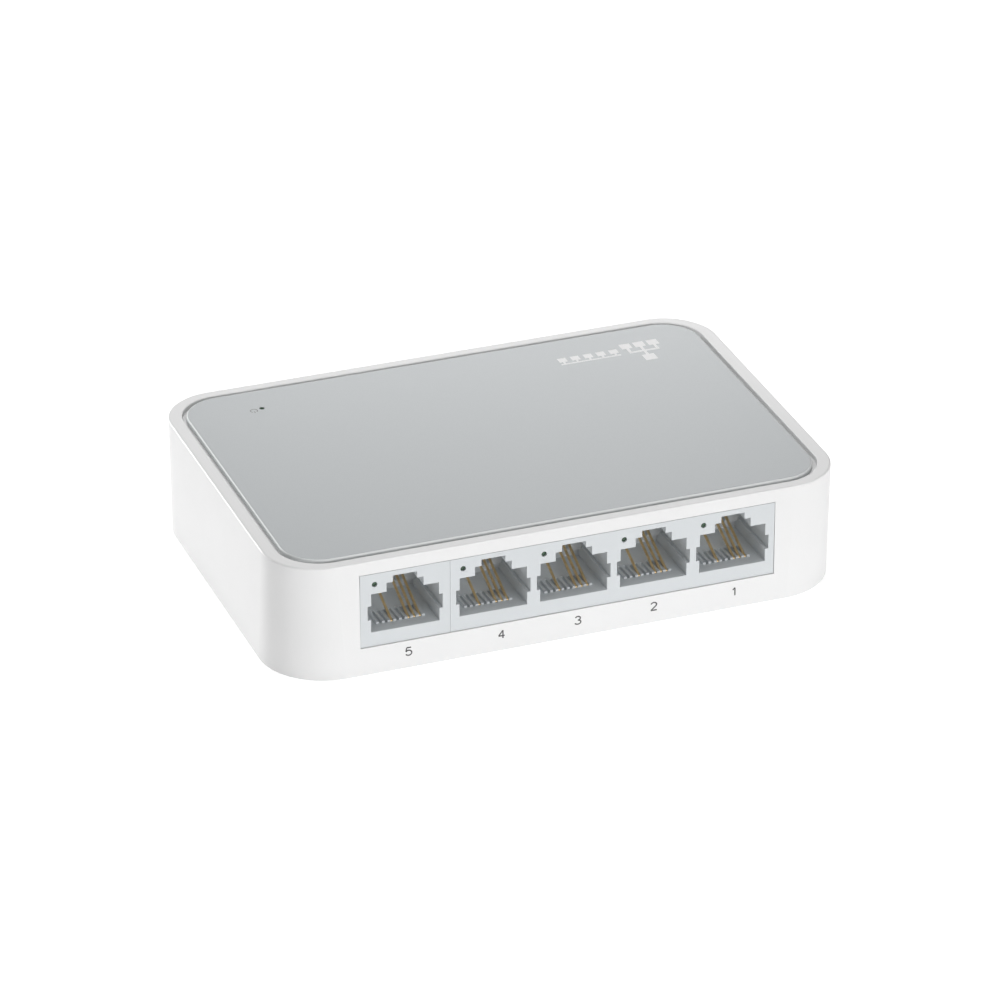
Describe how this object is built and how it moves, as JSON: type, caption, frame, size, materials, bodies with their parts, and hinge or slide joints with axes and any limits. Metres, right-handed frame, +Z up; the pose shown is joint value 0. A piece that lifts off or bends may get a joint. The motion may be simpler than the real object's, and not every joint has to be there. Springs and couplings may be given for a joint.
{
  "type": "desktop network switch",
  "caption": "Small desktop network switch: white case, grey inset top panel, a row of modular sockets with contacts and indicator lights, and a barrel power inlet.",
  "frame": {"origin": "on the surface the feet rest on, under the centre of the case", "axes": "+Z up; the sockets face -Y; +X is to the right for a reader facing the sockets"},
  "size_m": [0.1034, 0.07, 0.022],
  "materials": {
    "white_shell": "fine satin texture",
    "grey_panel": "satin silver-grey lacquer on a plastic inset",
    "socket_plastic": "light grey moulded, semi-matt",
    "contact_gold": "gold-flashed phosphor bronze wire",
    "tinned_wire": "tinned",
    "foot_rubber": "matt grey",
    "screw_steel": "zinc plated",
    "label_film": "blank silver-white film",
    "board_laminate": "green solder mask",
    "chip_epoxy": "moulded black",
    "can_metal": "drawn can",
    "ferrite": "dark sintered",
    "ceramic_chip": "small ceramic chips",
    "light_pipe": "clear green",
    "led_body": "white package with clear lens",
    "inlet_plastic": "black moulded",
    "nickel": "nickel plated",
    "dark_print": "pad-printed ink",
    "white_print": "pad-printed ink"
  },
  "bodies": {
    "case": {"top_cover": "white_shell", "top_panel": "grey_panel", "bottom_cover": "white_shell", "rating_label": "label_film", "case_screws": "screw_steel", "board_screws": "screw_steel", "main_board": "board_laminate", "socket_housing_port_5": "socket_plastic", "socket_housing_ports_1_to_4": "socket_plastic", "port_leds": "led_body", "power_led": "led_body", "power_light_pipe": "light_pipe", "switch_chip": "chip_epoxy", "magnetics_port_5": "chip_epoxy", "magnetics_ports_3_4": "chip_epoxy", "magnetics_ports_1_2": "chip_epoxy", "crystal": "can_metal", "smoothing_capacitors": "can_metal", "power_inductor": "ferrite", "voltage_regulator": "chip_epoxy", "small_parts": "ceramic_chip", "inlet_housing": "inlet_plastic", "inlet_centre_pin": "nickel", "inlet_spring_terminal": "tinned_wire", "rubber_foot_front_left": "foot_rubber", "rubber_foot_front_right": "foot_rubber", "rubber_foot_back_left": "foot_rubber", "rubber_foot_back_right": "foot_rubber", "port_5_terminals": "tinned_wire", "port_5_light_pipe": "light_pipe", "port_4_terminals": "tinned_wire", "port_4_light_pipe": "light_pipe", "port_3_terminals": "tinned_wire", "port_3_light_pipe": "light_pipe", "port_2_terminals": "tinned_wire", "port_2_light_pipe": "light_pipe", "port_1_terminals": "tinned_wire", "port_1_light_pipe": "light_pipe"},
    "port_1_contacts": {"port_1_contact_1": "contact_gold", "port_1_contact_2": "contact_gold", "port_1_contact_3": "contact_gold", "port_1_contact_6": "contact_gold"},
    "port_2_contacts": {"port_2_contact_1": "contact_gold", "port_2_contact_2": "contact_gold", "port_2_contact_3": "contact_gold", "port_2_contact_6": "contact_gold"},
    "port_3_contacts": {"port_3_contact_1": "contact_gold", "port_3_contact_2": "contact_gold", "port_3_contact_3": "contact_gold", "port_3_contact_6": "contact_gold"},
    "port_4_contacts": {"port_4_contact_1": "contact_gold", "port_4_contact_2": "contact_gold", "port_4_contact_3": "contact_gold", "port_4_contact_6": "contact_gold"},
    "port_5_contacts": {"port_5_contact_1": "contact_gold", "port_5_contact_2": "contact_gold", "port_5_contact_3": "contact_gold", "port_5_contact_6": "contact_gold"},
    "inlet_spring_leaf": {"inlet_spring": "nickel"}
  },
  "joints": [
    {"name": "port_1_contacts_flex", "type": "hinge", "parent": "case", "child": "port_1_contacts", "pos_m": [0.02998, -0.03165, 0.00805], "axis": [-1, 0, 0], "range_deg": [0, 10], "stiffness_Nm_per_rad": 0.2},
    {"name": "port_2_contacts_flex", "type": "hinge", "parent": "case", "child": "port_2_contacts", "pos_m": [0.01542, -0.03165, 0.00805], "axis": [-1, 0, 0], "range_deg": [0, 10], "stiffness_Nm_per_rad": 0.2},
    {"name": "port_3_contacts_flex", "type": "hinge", "parent": "case", "child": "port_3_contacts", "pos_m": [0.00088, -0.03165, 0.00805], "axis": [-1, 0, 0], "range_deg": [0, 10], "stiffness_Nm_per_rad": 0.2},
    {"name": "port_4_contacts_flex", "type": "hinge", "parent": "case", "child": "port_4_contacts", "pos_m": [-0.01367, -0.03165, 0.00805], "axis": [-1, 0, 0], "range_deg": [0, 10], "stiffness_Nm_per_rad": 0.2},
    {"name": "port_5_contacts_flex", "type": "hinge", "parent": "case", "child": "port_5_contacts", "pos_m": [-0.02945, -0.03165, 0.00805], "axis": [-1, 0, 0], "range_deg": [0, 10], "stiffness_Nm_per_rad": 0.2},
    {"name": "inlet_spring_flex", "type": "hinge", "parent": "case", "child": "inlet_spring_leaf", "pos_m": [0.04225, 0.012, 0.00795], "axis": [0, 1, 0], "range_deg": [0, 6], "stiffness_Nm_per_rad": 0.1}
  ]
}
